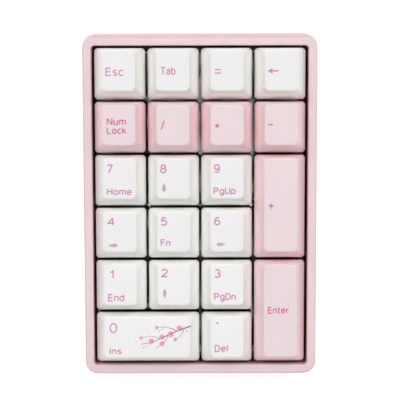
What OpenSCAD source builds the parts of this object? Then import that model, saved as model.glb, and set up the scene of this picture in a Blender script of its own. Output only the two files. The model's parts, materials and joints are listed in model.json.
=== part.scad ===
// Numeric keypad: twenty-one sprung keys on a steel plate in a wedge-shaped
// two-part case, with a socket for a detachable cable in the rear wall.
// Frame: +Z up, +X right, +Y to the rear. The origin is on the desk, under the
// middle of the case. Lengths are in millimetres.

/* [Keys] */
// Distance between the centres of neighbouring keys
key_pitch = 19.05; // [19:0.05:19.1]
// Width and depth of a single keycap at its skirt
cap_base = 18.3; // [17.9:0.1:18.3]
// Width of a single keycap's top face
cap_top_w = 11.7; // [11.5:0.1:12.5]
// Depth of a single keycap's top face
cap_top_d = 14.4; // [14:0.1:14.8]
// How far a key goes down
key_travel = 4; // [3:0.1:4]

/* [Case] */
// Outer width of the case
case_w = 83.5; // [83:0.1:85]
// Outer depth of the case, front to rear
case_d = 122.5; // [122:0.1:124]
// Slope of the keys above the desk, in degrees
typing_angle = 6; // [5:0.5:6.5]
// Corner radius at the front of the case
front_corner_r = 4.5; // [3.5:0.5:6]
// Corner radius at the rear of the case
rear_corner_r = 5.5; // [4:0.5:6.5]
// Height of the rim above the switch plate
rim_h = 9; // [8:0.5:9.5]
// Width of the bevel along the rear edge, on the rim
bevel_w = 2; // [1:0.5:2.5]

/* [Base] */
// Thickness of the floor of the case
floor_t = 2; // [1.8:0.1:2.2]
// How far the rubber feet stand out below the case
foot_h = 1.2; // [1:0.1:1.4]

/* [Hidden] */
$fn = 48;
columns = 4;
rows = 6;
eps = 0.01;
reach = 200; // longer than anything in the keypad

// The plate frame: its origin is in the middle of the plate's top face, its X
// and Y lie in that face, and its Z is the way that the keys move.
plate_z = 18;
plate_y = 0.2;
plate_t = 1.5;
opening_w = columns * key_pitch + 1;
opening_d = rows * key_pitch + 0.8;
opening_r = 1.2;
ledge = 0.8; // the rim's ledge covers this much of the plate's edge
plate_w = opening_w + 2 * ledge;
plate_d = opening_d + 2 * ledge;
plate_gap = 0.15;
plate_corner_r = 1;
seam_z = -4; // the two halves of the case meet here, below the plate
tongue_h = 1.6;
tongue_t = 0.9;
tongue_gap = 0.1;
tongue_corner_r = 2; // inside corners of the tongue
wall_in_x = plate_w / 2 + plate_gap;
wall_in_y = plate_d / 2 + plate_gap;
bay_front = -57.8; // the lower case's inside faces, front and rear
bay_rear = 58.2;
bay_r = 2;
hook_w = 8;
hook_rise = 0.5; // from the seam up to the underside of a hook
hook_t = 0.5;
hook_h = 0.7;

// Circuit board, below the plate and parallel to it
board_top = -5;
board_t = 1.6;
board_under = board_top - board_t;
board_w = plate_w - 1.4;
board_d = plate_d - 1.8;
board_corner_r = 1;
board_post_r = 2; // hole for a switch's post
board_pin_r = 0.75; // hole for a switch's pin
PINS = [[-3.81, 2.54], [2.54, 5.08]];

// Parts under the board, each [x, y, width, depth, height]: a diode beside each
// switch, and the controller with its crystal and a row of capacitors
DIODE = [5.5, -5.5, 3, 1.6, 1.1];
CONTROLLER = [
    [4.8, 5, 7, 7, 0.9],
    [-4.2, 7.2, 3.2, 2.5, 0.8],
    [-4.2, 4.2, 2, 1.2, 0.9],
    [-4.2, 2.2, 2, 1.2, 0.9],
    [-4.2, 0.2, 2, 1.2, 0.9],
    [-4.2, -1.8, 2, 1.2, 0.9]
];

// Switch, in the plate frame, centred on its key
cutout = 14;
body_w = 13.9;
flange_w = 15.6;
flange_h = 1;
cavity_w = 11.9;
cavity_floor = -3.8;
tube_r = 1.7;
tube_top = -1.8;
bore_r = 1.3;
bore_floor = -7.5;
post_r = 1.95;
post_end = -8.4;
housing_base = 14.2;
housing_top = 9.8;
housing_h = 6.6;
housing_wall = 1.2;
housing_room = [12.2, 9.3]; // the inside, at its base and at its ceiling
shaft = [7.4, 6.1];
slider = [7.2, 5.9];
slider_top = 6.7;
slider_bottom = 1;
shoulder = [9, 3];
shoulder_top = 5.3;
spring_room_r = 2.45;
spring_room_top = 5.2;
pole_r = 1.15;
pole_end = -3.4;
cross_arm = 4.05;
cross_long = 1.27; // thickness of the arm that runs left to right
cross_short = 1.07;
cross_top = 10.3;

// Spring, a coil of square wire
spring_r = 2.05;
wire_half = 0.2;
spring_turns = 5;
spring_steps = 8;
spring_from = cavity_floor + 0.3;
spring_to = spring_room_top - 0.3;

// Keycap
skirt_z = 6.2; // the skirt's edge above the plate, at rest
cap_wall = 1.45;
cap_ceiling = 1.2;
cap_corner_r = 1.3;
cap_top_r = 1.7;
cap_skew = 1.15; // the top face sits this far to the rear of the skirt
dish_depth = 0.65;
cap_post_r = 2.75;
cap_post_from = 6.75;
slot_gap = 0.04;
slot_top = 10.6;
slab = 0.02;

// Stabilizer of a key that is two units long, p across it and q along it
stab_q = 11.94;
stab_body = [6.4, 10.8];
stab_top = 2.5;
stab_shaft = [4.7, 5.9];
stab_slider = [4.4, 5.6];
stab_slider_bottom = -0.7;
stab_cut = [6.8, 12.4];
stab_cut_shift = 0.4;
rod_r = 0.8;
rod_p = 8;
rod_z = -3.2;
rod_rise = 4.1; // the arm's end stands this far above the rod at rest
rod_bearing_r = 0.86;
rod_slot = 1.9;
clip_q = [1, 3.2];
clip_p = 9.4;
clip_top = -1.6;
stab_peg_r = 1.5;
stab_peg_p = 4.1;
stab_peg_end = 0.6; // the peg ends this far below the board
stab_front_slot = [2.1, 4]; // where the wire's arm passes the housing
stab_front_slot_p = -6;
stab_front_slot_top = 0.6;
slider_slot_p = 0.6; // the slider's slot is open to the front from here
slider_slot_top = 2;
slider_hook = [0.7, 0.3]; // half depth and height of the bar under the wire's end

// Screws that hold the plate down on posts of the lower case
screws = [[-18.5, 0], [18.5, 0], [-key_pitch, -37.6], [19.7, -53.7]];
screw_head_r = 1.7;
screw_head_h = 1.1;
screw_r = 0.95;
screw_len = 8;
screw_post_r = 2.1;
screw_hole_r = 1;
screw_clear_r = 1.1; // hole in the plate
screw_hole_spare = 0.5; // the hole is this much deeper than the screw is long
screw_recess = [2, 0.5, 0.6]; // length, width and depth of one arm of the cross
seat_gap = 0.05; // between the posts and the plate, and the board and its parts

// Cable socket, under the rear edge of the board
socket_w = 8.94;
socket_h = 3.26;
socket_len = 7.3;
socket_wall = 0.3;
socket_gap = 0.2; // between the shell and the slot in the case
socket_back = 1.5; // thickness of the insulator behind the tongue
socket_tongue = [6.7, 0.7];
socket_tongue_in = 0.9; // the tongue stands this far back from the mouth
socket_mouth_y = 59.9;
socket_z = board_under - socket_h / 2 - seat_gap;
port_w = 11;
port_h = 5.4;

// Rubber feet
foot_w = 16;
foot_d = 6;
foot_recess = 0.8;
foot_gap = 0.1;
foot_x = 27;
foot_y = 52;

// Heights and tilts of the keycap profiles, from the rear of the keypad to the
// front: [height, tilt]. A positive tilt raises the front edge.
far_row = [9.5, 1];
upper_row = [8.1, 2.5];
home_row = [7.3, 5];
near_row = [7.7, 10.5];
tall_upper = [7.6, 2];
tall_near = [7.6, 2];

// Keys: [name, column, row, width, depth, profile]. Columns count from the
// left and rows from the rear, and width and depth are in key units.
KEYS = [
    ["escape", 0, 0, 1, 1, far_row],
    ["tab", 1, 0, 1, 1, far_row],
    ["equals", 2, 0, 1, 1, far_row],
    ["backspace", 3, 0, 1, 1, far_row],
    ["num_lock", 0, 1, 1, 1, far_row],
    ["divide", 1, 1, 1, 1, far_row],
    ["multiply", 2, 1, 1, 1, far_row],
    ["minus", 3, 1, 1, 1, far_row],
    ["seven", 0, 2, 1, 1, upper_row],
    ["eight", 1, 2, 1, 1, upper_row],
    ["nine", 2, 2, 1, 1, upper_row],
    ["plus", 3, 2, 1, 2, tall_upper],
    ["four", 0, 3, 1, 1, home_row],
    ["five", 1, 3, 1, 1, home_row],
    ["six", 2, 3, 1, 1, home_row],
    ["one", 0, 4, 1, 1, near_row],
    ["two", 1, 4, 1, 1, near_row],
    ["three", 2, 4, 1, 1, near_row],
    ["enter", 3, 4, 1, 2, tall_near],
    ["zero", 0, 5, 2, 1, near_row],
    ["decimal", 2, 5, 1, 1, near_row]
];
LONG_KEYS = [for (key = KEYS) if (key[3] * key[4] > 1) key];
PINK_KEYS = ["num_lock", "divide", "multiply", "minus", "plus", "enter"];

function key_x(key) = (key[1] + key[3] / 2 - columns / 2) * key_pitch;
function key_y(key) = (rows / 2 - key[2] - key[4] / 2) * key_pitch;
function is_tall(key) = key[4] > 1;
function is_pink(key) = len([for (name = PINK_KEYS) if (name == key[0]) name]) > 0;
// The cable-side turn of a stabilizer: its rod lies to the right of a tall key
// and in front of a wide one.
function stab_turn(key) = is_tall(key) ? 90 : 0;

// ---- placing ----

module on_plate() {
    translate([0, plate_y, plate_z]) rotate([typing_angle, 0, 0]) children();
}

module at_key(key) {
    on_plate() translate([key_x(key), key_y(key), 0]) children();
}

module at_every_key() {
    for (key = KEYS) at_key(key) children();
}

// ---- shapes that repeat ----

// A rectangle with round corners, built from true arcs
module round_rect(w, d, r) {
    square([w - 2 * r, d], center = true);
    square([w, d - 2 * r], center = true);
    for (x = [-1, 1], y = [-1, 1]) translate([x * (w / 2 - r), y * (d / 2 - r)]) circle(r);
}

module block(w, d, from, to) {
    translate([-w / 2, -d / 2, from]) cube([w, d, to - from]);
}

module rod(r, from, to) {
    translate([0, 0, from]) cylinder(r = r, h = to - from);
}

// A four-sided frustum between two squares
module frustum(base, top, from, to) {
    outline = [[-base / 2, from], [base / 2, from], [top / 2, to], [-top / 2, to]];
    intersection() {
        rotate([90, 0, 0]) linear_extrude(height = reach, center = true) polygon(outline);
        rotate([90, 0, 90]) linear_extrude(height = reach, center = true) polygon(outline);
    }
}

module key_cross(gap, from, to) {
    block(cross_arm + 2 * gap, cross_long + 2 * gap, from, to);
    block(cross_short + 2 * gap, cross_arm + 2 * gap, from, to);
}

// Everything below the height z of the plate frame
module below(z) {
    on_plate() translate([-reach / 2, -reach / 2, z - reach]) cube([reach, reach, reach]);
}

// ---- case ----

module case_outline() {
    rear_x = case_w / 2 - rear_corner_r;
    rear_y = case_d / 2 - rear_corner_r;
    front_x = case_w / 2 - front_corner_r;
    front_y = case_d / 2 - front_corner_r;
    for (x = [-1, 1]) {
        translate([x * rear_x, rear_y]) circle(rear_corner_r);
        translate([x * front_x, -front_y]) circle(front_corner_r);
    }
    translate([-case_w / 2, -front_y]) square([case_w, front_y + rear_y]);
    translate([-rear_x, 0]) square([2 * rear_x, case_d / 2]);
    translate([-front_x, -case_d / 2]) square([2 * front_x, case_d / 2]);
}

module case_block() {
    translate([0, 0, foot_h]) linear_extrude(height = 2 * plate_z) case_outline();
}

// The ring that joins the two halves of the case
module seam_ring(gap) {
    translate([0, 0, seam_z - 2 * eps]) linear_extrude(height = tongue_h + gap) difference() {
        round_rect(2 * (wall_in_x + tongue_t + gap), 2 * (wall_in_y + tongue_t + gap),
                   tongue_corner_r + tongue_t + gap);
        round_rect(2 * wall_in_x, 2 * wall_in_y, tongue_corner_r);
    }
    for (x = [-1, 1], y = [-1, 0, 1])
        translate([x * (wall_in_x + tongue_t), y * 2 * key_pitch, seam_z + hook_rise])
            block(2 * (hook_t + gap), hook_w + 2 * gap, -gap, hook_h + gap);
}

module rear_bevel() {
    rear_edge = (case_d / 2 - plate_y + rim_h * sin(typing_angle)) / cos(typing_angle);
    translate([-reach / 2, rear_edge - bevel_w, rim_h]) rotate([-60, 0, 0]) cube(reach);
}

module top_case() {
    color("#eacfd4") difference() {
        intersection() {
            case_block();
            below(rim_h);
        }
        below(seam_z);
        on_plate() {
            translate([0, 0, -eps]) linear_extrude(height = 3 * rim_h)
                round_rect(opening_w, opening_d, opening_r);
            block(2 * wall_in_x, 2 * wall_in_y, seam_z - 1, 0);
            seam_ring(tongue_gap);
            rear_bevel();
        }
    }
}

module bottom_case() {
    color("#e6c9cf") difference() {
        union() {
            difference() {
                intersection() {
                    case_block();
                    below(seam_z);
                }
                translate([0, (bay_front + bay_rear) / 2, foot_h + floor_t])
                    linear_extrude(height = reach)
                    round_rect(2 * wall_in_x, bay_rear - bay_front, bay_r);
            }
            intersection() {
                case_block();
                on_plate() for (p = screws) translate([p[0], p[1], 0])
                    rod(screw_post_r, -3 * plate_z, -plate_t - seat_gap);
            }
            on_plate() seam_ring(0);
        }
        on_plate() for (p = screws) translate([p[0], p[1], 0])
            rod(screw_hole_r, -screw_len - screw_hole_spare, 0);
        on_plate() translate([0, socket_mouth_y, socket_z]) rotate([90, 0, 0]) {
            translate([0, 0, -reach]) linear_extrude(height = reach)
                round_rect(port_w, port_h, port_h / 2 - 0.1);
            linear_extrude(height = socket_len)
                socket_outline(socket_w + 2 * socket_gap, socket_h + 2 * socket_gap);
        }
        for (x = [-foot_x, foot_x], y = [-foot_y, foot_y]) translate([x, y, 0])
            foot_shape(foot_h + foot_recess, foot_gap);
    }
}

// A foot, or the recess it is stuck into when it is drawn wider by a gap
module foot_shape(h, gap) {
    linear_extrude(height = h) round_rect(foot_w + 2 * gap, foot_d + 2 * gap, foot_d / 2 - 0.1 + gap);
}

module rubber_feet() {
    color("#3a3638") for (x = [-foot_x, foot_x], y = [-foot_y, foot_y])
        translate([x, y, 0]) foot_shape(foot_h + foot_recess, 0);
}

// ---- plate, board and what they carry ----

module stab_places(key) {
    rotate([0, 0, stab_turn(key)]) for (side = [-1, 1]) translate([side * stab_q, 0, 0])
        scale([side, 1, 1]) children();
}

module switch_plate() {
    color("#4a494a") difference() {
        on_plate() translate([0, 0, -plate_t]) linear_extrude(height = plate_t)
            round_rect(plate_w, plate_d, plate_corner_r);
        at_every_key() block(cutout, cutout, -plate_t - 1, 1);
        for (key = LONG_KEYS) at_key(key) stab_places(key)
            translate([0, -stab_cut_shift, 0]) block(stab_cut[0], stab_cut[1], -plate_t - 1, 1);
        on_plate() for (p = screws) translate([p[0], p[1], 0]) rod(screw_clear_r, -plate_t - 1, 1);
    }
}

module plate_screws() {
    color("#b9bcc0") on_plate() for (p = screws) translate([p[0], p[1], 0]) difference() {
        union() {
            rod(screw_head_r, 0, screw_head_h);
            rod(screw_r, -screw_len, eps);
        }
        for (turn = [0, 90]) rotate([0, 0, turn])
            block(screw_recess[0], screw_recess[1], screw_head_h - screw_recess[2], screw_head_h + 1);
    }
}

module circuit_board() {
    color("#f0efe9") difference() {
        on_plate() translate([0, 0, board_under]) linear_extrude(height = board_t)
            round_rect(board_w, board_d, board_corner_r);
        at_every_key() {
            rod(board_post_r, board_under - 1, board_top + 1);
            for (p = PINS) translate([p[0], p[1], 0]) rod(board_pin_r, board_under - 1, board_top + 1);
        }
        for (key = LONG_KEYS) at_key(key) stab_places(key)
            translate([0, stab_peg_p, 0]) rod(stab_peg_r + 0.1, board_under - 1, board_top + 1);
        on_plate() for (p = screws) translate([p[0], p[1], 0])
            rod(screw_post_r + 0.3, board_under - 1, board_top + 1);
    }
}

// A part under the board: [x, y, width, depth, height]
module chip(item) {
    translate([item[0], item[1], board_under]) block(item[2], item[3], -item[4], -seat_gap);
}

module board_components() {
    color("#2b2b2e") {
        at_every_key() chip(DIODE);
        on_plate() translate([0, key_pitch / 2 * 3, 0]) for (item = CONTROLLER) chip(item);
    }
}

module socket_outline(w, h) {
    square([w - h, h], center = true);
    for (x = [-1, 1]) translate([x * (w - h) / 2, 0]) circle(h / 2);
}

// A metal shell with round ends, and the insulator whose tongue stands in it
module cable_socket() {
    inner_w = socket_w - 2 * socket_wall;
    inner_h = socket_h - 2 * socket_wall;
    on_plate() translate([0, socket_mouth_y, socket_z]) rotate([90, 0, 0]) {
        color("#c4c6c8") linear_extrude(height = socket_len) difference() {
            socket_outline(socket_w, socket_h);
            socket_outline(inner_w, inner_h);
        }
        color("#26262a") {
            translate([0, 0, socket_len - socket_back]) linear_extrude(height = socket_back)
                socket_outline(inner_w - 0.1, inner_h - 0.1);
            block(socket_tongue[0], socket_tongue[1], socket_tongue_in, socket_len - 1);
        }
    }
}

// ---- switch ----

module switch_lower_housings() {
    color("#2a2a2c") at_every_key() difference() {
        union() {
            block(body_w, body_w, board_top, 0.5);
            block(flange_w, flange_w, 0, flange_h);
            rod(post_r, post_end, board_top + 1);
        }
        difference() {
            block(cavity_w, cavity_w, cavity_floor, flange_h + 1);
            rod(tube_r, cavity_floor - 1, tube_top);
        }
        rod(bore_r, bore_floor, flange_h + 1);
    }
}

module switch_upper_housings() {
    color("#3a3a3d") at_every_key() difference() {
        frustum(housing_base, housing_top, flange_h, housing_h);
        frustum(housing_room[0], housing_room[1], flange_h - eps, housing_h - housing_wall);
        block(shaft[0], shaft[1], 0, housing_h + 1);
    }
}

// One ring of the coil: a square across the wire, turned with the helix
function coil_ring(n, total) =
    let (a = 360 * n / spring_steps,
         z = spring_from + (spring_to - spring_from) * n / total)
    [for (c = [[-1, -1], [1, -1], [1, 1], [-1, 1]])
        [(spring_r + c[0] * wire_half) * cos(a), (spring_r + c[0] * wire_half) * sin(a),
         z + c[1] * wire_half]];

module coil_spring() {
    total = spring_turns * spring_steps;
    points = [for (n = [0:total]) each coil_ring(n, total)];
    last = 4 * total;
    faces = concat(
        [[3, 2, 1, 0], [last, last + 1, last + 2, last + 3]],
        [for (n = [0:total - 1], c = [0:3]) let (i = 4 * n + c, j = 4 * n + (c + 1) % 4)
            each [[i, j, j + 4], [i, j + 4, i + 4]]]
    );
    polyhedron(points, faces);
}

module switch_springs() {
    color("#c8ccd0") at_every_key() coil_spring();
}

module stem(key) {
    color("#b4543c") at_key(key) {
        difference() {
            union() {
                block(slider[0], slider[1], slider_bottom, slider_top);
                block(shoulder[0], shoulder[1], slider_bottom, shoulder_top);
            }
            rod(spring_room_r, slider_bottom - 1, spring_room_top);
        }
        rod(pole_r, pole_end, spring_room_top + 0.5);
        key_cross(0, slider_top - 0.5, cross_top);
    }
}

// ---- keycap ----

module cap_slice(w, d, r) {
    linear_extrude(height = slab) round_rect(w, d, r, $fn = 24);
}

// The cap's tapered body, shrunk by inset at the sides and lowered at the top
module cap_body(key, inset, drop) {
    extra_w = (key[3] - 1) * key_pitch;
    extra_d = (key[4] - 1) * key_pitch;
    profile = key[5];
    hull() {
        translate([0, 0, skirt_z])
            cap_slice(cap_base + extra_w - 2 * inset, cap_base + extra_d - 2 * inset,
                      cap_corner_r - inset / 3);
        translate([0, cap_skew, skirt_z + profile[0] - drop - slab]) rotate([-profile[1], 0, 0])
            cap_slice(cap_top_w + extra_w - 1.6 * inset, cap_top_d + extra_d - 1.6 * inset,
                      cap_top_r - inset / 3);
    }
}

// The hollow that a fingertip rests in: a wide cylinder lying front to rear
module cap_dish(key) {
    chord = cap_top_w + (key[3] - 1) * key_pitch + 0.8;
    r = chord * chord / (8 * dish_depth) + dish_depth / 2;
    profile = key[5];
    translate([0, cap_skew, skirt_z + profile[0]]) rotate([-profile[1], 0, 0])
        translate([0, 0, r - dish_depth]) rotate([90, 0, 0])
        cylinder(r = r, h = 80, center = true, $fn = 360);
}

module cap_posts(key) {
    for (q = is_tall(key) || key[3] > 1 ? [-stab_q, 0, stab_q] : [0])
        rotate([0, 0, stab_turn(key)]) translate([q, 0, 0]) rotate([0, 0, -stab_turn(key)]) children();
}

module keycap(key) {
    color(is_pink(key) ? "#efdde0" : "#f0f0ee") at_key(key) difference() {
        union() {
            difference() {
                cap_body(key, 0, 0);
                translate([0, 0, -eps]) cap_body(key, cap_wall, cap_ceiling + dish_depth);
            }
            intersection() {
                cap_body(key, 0, 0);
                cap_posts(key) rod(cap_post_r, cap_post_from, 2 * skirt_z + key[5][0]);
            }
        }
        cap_posts(key) key_cross(slot_gap, 0, slot_top);
        cap_dish(key);
    }
}

// ---- stabilizer ----

module stabilizer_housings() {
    color("#2a2a2c") for (key = LONG_KEYS) at_key(key) stab_places(key) difference() {
        union() {
            block(stab_body[0], stab_body[1], board_top, stab_top);
            translate([-clip_q[1], -clip_p, board_top])
                cube([clip_q[1] - clip_q[0], clip_p - 4, clip_top - board_top]);
            translate([0, stab_peg_p, 0]) rod(stab_peg_r, board_under - stab_peg_end, board_top + 1);
        }
        block(stab_shaft[0], stab_shaft[1], board_top - eps, stab_top + 1);
        translate([-stab_front_slot[0] / 2, stab_front_slot_p, board_top - 1])
            cube([stab_front_slot[0], stab_front_slot[1], stab_front_slot_top - board_top + 1]);
        translate([0, -rod_p, rod_z]) rotate([0, 90, 0])
            cylinder(r = rod_bearing_r, h = 2 * clip_q[1] + 4, center = true);
    }
}

module stabilizer_sliders(key) {
    color("#e9e9e4") at_key(key) {
        stab_places(key) difference() {
            block(stab_slider[0], stab_slider[1], stab_slider_bottom, slider_top);
            translate([-rod_slot / 2, -stab_slider[1], stab_slider_bottom - 1])
                cube([rod_slot, stab_slider[1] - slider_slot_p,
                      slider_slot_top - stab_slider_bottom + 1]);
            translate([-rod_slot / 2, -slider_hook[0], stab_slider_bottom + slider_hook[1]])
                cube([rod_slot, 2, slider_slot_top - stab_slider_bottom - slider_hook[1]]);
        }
        stab_places(key) rotate([0, 0, stab_turn(key)]) key_cross(0, slider_top - 0.5, cross_top);
    }
}

module stabilizer_wire(key) {
    arm = sqrt(rod_p * rod_p + rod_rise * rod_rise);
    color("#c2c4c8") at_key(key) rotate([0, 0, stab_turn(key)]) translate([0, -rod_p, rod_z]) {
        rotate([0, 90, 0]) cylinder(r = rod_r, h = 2 * (stab_q + rod_r), center = true);
        for (side = [-1, 1]) translate([side * stab_q, 0, 0])
            rotate([atan2(rod_rise, rod_p) - 90, 0, 0]) cylinder(r = rod_r, h = arm);
    }
}

// ---- nodes ----

top_case();
bottom_case();
switch_plate();
plate_screws();
rubber_feet();
circuit_board();
board_components();
cable_socket();
switch_lower_housings();
switch_upper_housings();
switch_springs();
stabilizer_housings();
for (key = KEYS) {
    keycap(key);
    stem(key);
}
for (key = LONG_KEYS) {
    stabilizer_sliders(key);
    stabilizer_wire(key);
}
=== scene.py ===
"""Looks of the numeric keypad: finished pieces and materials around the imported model."""
import json
import math

import bmesh
import bpy
import numpy as np
from mathutils import Matrix, Vector

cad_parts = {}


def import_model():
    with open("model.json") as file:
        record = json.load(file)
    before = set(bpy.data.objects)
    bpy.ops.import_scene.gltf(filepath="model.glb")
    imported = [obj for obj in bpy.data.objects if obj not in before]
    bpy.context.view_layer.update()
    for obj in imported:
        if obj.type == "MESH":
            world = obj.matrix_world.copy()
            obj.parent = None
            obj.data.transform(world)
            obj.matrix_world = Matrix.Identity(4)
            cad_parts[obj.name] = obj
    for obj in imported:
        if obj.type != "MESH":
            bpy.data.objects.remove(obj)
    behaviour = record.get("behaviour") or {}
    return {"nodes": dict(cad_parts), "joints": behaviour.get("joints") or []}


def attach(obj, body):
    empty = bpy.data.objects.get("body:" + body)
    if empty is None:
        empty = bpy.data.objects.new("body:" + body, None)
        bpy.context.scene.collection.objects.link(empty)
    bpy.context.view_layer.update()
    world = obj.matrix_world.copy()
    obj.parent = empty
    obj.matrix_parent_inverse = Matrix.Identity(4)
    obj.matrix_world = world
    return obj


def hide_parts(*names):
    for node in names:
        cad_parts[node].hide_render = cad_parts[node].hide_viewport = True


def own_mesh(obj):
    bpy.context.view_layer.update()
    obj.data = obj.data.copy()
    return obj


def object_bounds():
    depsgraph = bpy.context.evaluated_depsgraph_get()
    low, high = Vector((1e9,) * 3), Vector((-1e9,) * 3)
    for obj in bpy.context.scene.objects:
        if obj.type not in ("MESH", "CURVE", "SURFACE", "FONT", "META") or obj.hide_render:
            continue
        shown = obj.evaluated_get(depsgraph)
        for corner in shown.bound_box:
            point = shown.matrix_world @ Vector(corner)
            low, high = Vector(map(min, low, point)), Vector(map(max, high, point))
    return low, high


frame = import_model()
cad_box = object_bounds()

MM = 0.001

# ------------------------ the plate's own frame
# Sizes of the keys and the plate are in millimetres in the plate's frame: its origin is in the
# middle of the plate's top face, and its Z is the way that the keys come up.
press = Vector(next(j["axis"] for j in frame["joints"] if j["type"] == "slide"))
TILT = math.atan2(press.y, -press.z)
LEVEL = np.array(Matrix.Rotation(-TILT, 3, "X"))


def level_box(node):
    """The low and high corners of a CAD node along the plate's axes, in mm from the row's origin."""
    mesh = frame["nodes"][node].data
    co = np.array([v.co for v in mesh.vertices]) @ LEVEL.T / MM
    return co.min(axis=0), co.max(axis=0)


plate_low, plate_high = level_box("switch_plate")
plate_origin = np.array([*((plate_low + plate_high) / 2)[:2], plate_high[2]])
PLATE = Matrix.Rotation(TILT, 4, "X") @ Matrix.Scale(MM, 4) @ Matrix.Translation(plate_origin)


def plate_box(node):
    """A CAD node's corners in the plate's frame, in mm."""
    low, high = level_box(node)
    return low - plate_origin, high - plate_origin


# ------------------------ keys
STAB_Q = 11.94            # a long key's outer posts are this far from its middle
CAP_TOP = (11.7, 14.4)    # a single key's top face
CAP_SKEW = 1.15           # the top face sits this far to the rear of the skirt
CAP_WALL = 1.45
CAP_CEILING = 1.2
DISH = 0.65
SKIRT_R = 1.3
TOP_R = 1.9
FILLET = 0.62
BULGE = 0.1
POST_R = 2.75
POST_FROM = 0.55          # heights inside a cap are above its skirt
CROSS_TOP = 4.4
CROSS = (4.13, 1.35, 1.15)

# Height and tilt of each profile, from the rear of the keypad to the front
FAR, UPPER, HOME, NEAR = (9.5, 1.0), (8.1, 2.5), (7.3, 5.0), (7.7, 10.5)
TALL = (7.6, 2.0)
PROFILES = {
    "escape": FAR, "tab": FAR, "equals": FAR, "backspace": FAR,
    "num_lock": FAR, "divide": FAR, "multiply": FAR, "minus": FAR,
    "seven": UPPER, "eight": UPPER, "nine": UPPER, "plus": TALL,
    "four": HOME, "five": HOME, "six": HOME,
    "one": NEAR, "two": NEAR, "three": NEAR, "enter": TALL, "zero": NEAR, "decimal": NEAR,
}
PINK = {"num_lock", "divide", "multiply", "minus", "plus", "enter"}


class Key:
    """One key: its place and size in the plate's frame, and the shape of its top."""

    def __init__(self, name):
        low, high = plate_box("keycap_" + name)
        stem_low, stem_high = plate_box("stem_" + name)
        self.name = name
        self.x, self.y = ((stem_low + stem_high) / 2)[:2]
        self.skirt = low[2]
        self.base = (high - low)[:2]
        extra = self.base - min(self.base)
        self.top = np.array(CAP_TOP) + extra
        self.extra = extra
        self.height, tilt = PROFILES[name]
        self.slope = math.tan(math.radians(tilt))
        self.pink = name in PINK
        self.slot = "cap_pink" if self.pink else "cap_white"
        self.matrix = PLATE @ Matrix.Translation((self.x, self.y, self.skirt))

    def plane(self, y):
        return self.height - (y - CAP_SKEW) * self.slope

    def surface(self, x, y):
        """Height of the dished top above the skirt."""
        half = (self.top[0] + 0.8) / 2
        return self.plane(y) - DISH * (1 - min(1.0, abs(x) / half) ** 2)

    def posts(self):
        if self.extra.max() < 1:
            return [(0, 0)]
        along = (1, 0) if self.extra[0] > 1 else (0, 1)
        return [(q * along[0], q * along[1]) for q in (-STAB_Q, 0, STAB_Q)]


KEYS = [Key(name) for name in PROFILES]
KEY = {key.name: key for key in KEYS}


# ------------------------ mesh building
def arc(cx, cy, r, start, end, n, ry=None):
    """Points on an arc of a circle, or of an ellipse where ry is given; angles in degrees."""
    turns = [math.radians(start + (end - start) * k / n) for k in range(n + 1)]
    return [(cx + r * math.cos(a), cy + (ry or r) * math.sin(a)) for a in turns]


def quarter(r, step, n):
    """How far n points of a quarter round, step degrees apart, are from its two flat sides."""
    turns = [math.radians(step * k) for k in range(n)]
    return [(r * (1 - math.cos(a)), r * (1 - math.sin(a))) for a in turns]


def outline(w, d, r, counts, cx=0.0, cy=0.0):
    """Points around a rectangle with round corners, from the middle of the front left arc.
    r is (front, rear); counts is how many steps each side has, and each half of an arc."""
    nx, ny, nc = counts
    rf, rr = r
    centres = [(-w / 2 + rf, -d / 2 + rf, rf), (w / 2 - rf, -d / 2 + rf, rf),
               (w / 2 - rr, d / 2 - rr, rr), (-w / 2 + rr, d / 2 - rr, rr)]
    points = []
    for side, n in enumerate((nx, ny, nx, ny)):
        (ax, ay, ar), (bx, by, br) = centres[side], centres[(side + 1) % 4]
        turn = 225 + 90 * side
        start = arc(ax, ay, ar, turn, turn + 45, nc)
        end = arc(bx, by, br, turn + 45, turn + 90, nc)
        straight = [tuple(np.array(start[-1]) + (np.array(end[0]) - np.array(start[-1])) * k / (n - 2 * nc))
                    for k in range(1, n - 2 * nc)]
        points += start + straight + end[:-1]
    return np.array(points) + np.array([cx, cy])


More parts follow.
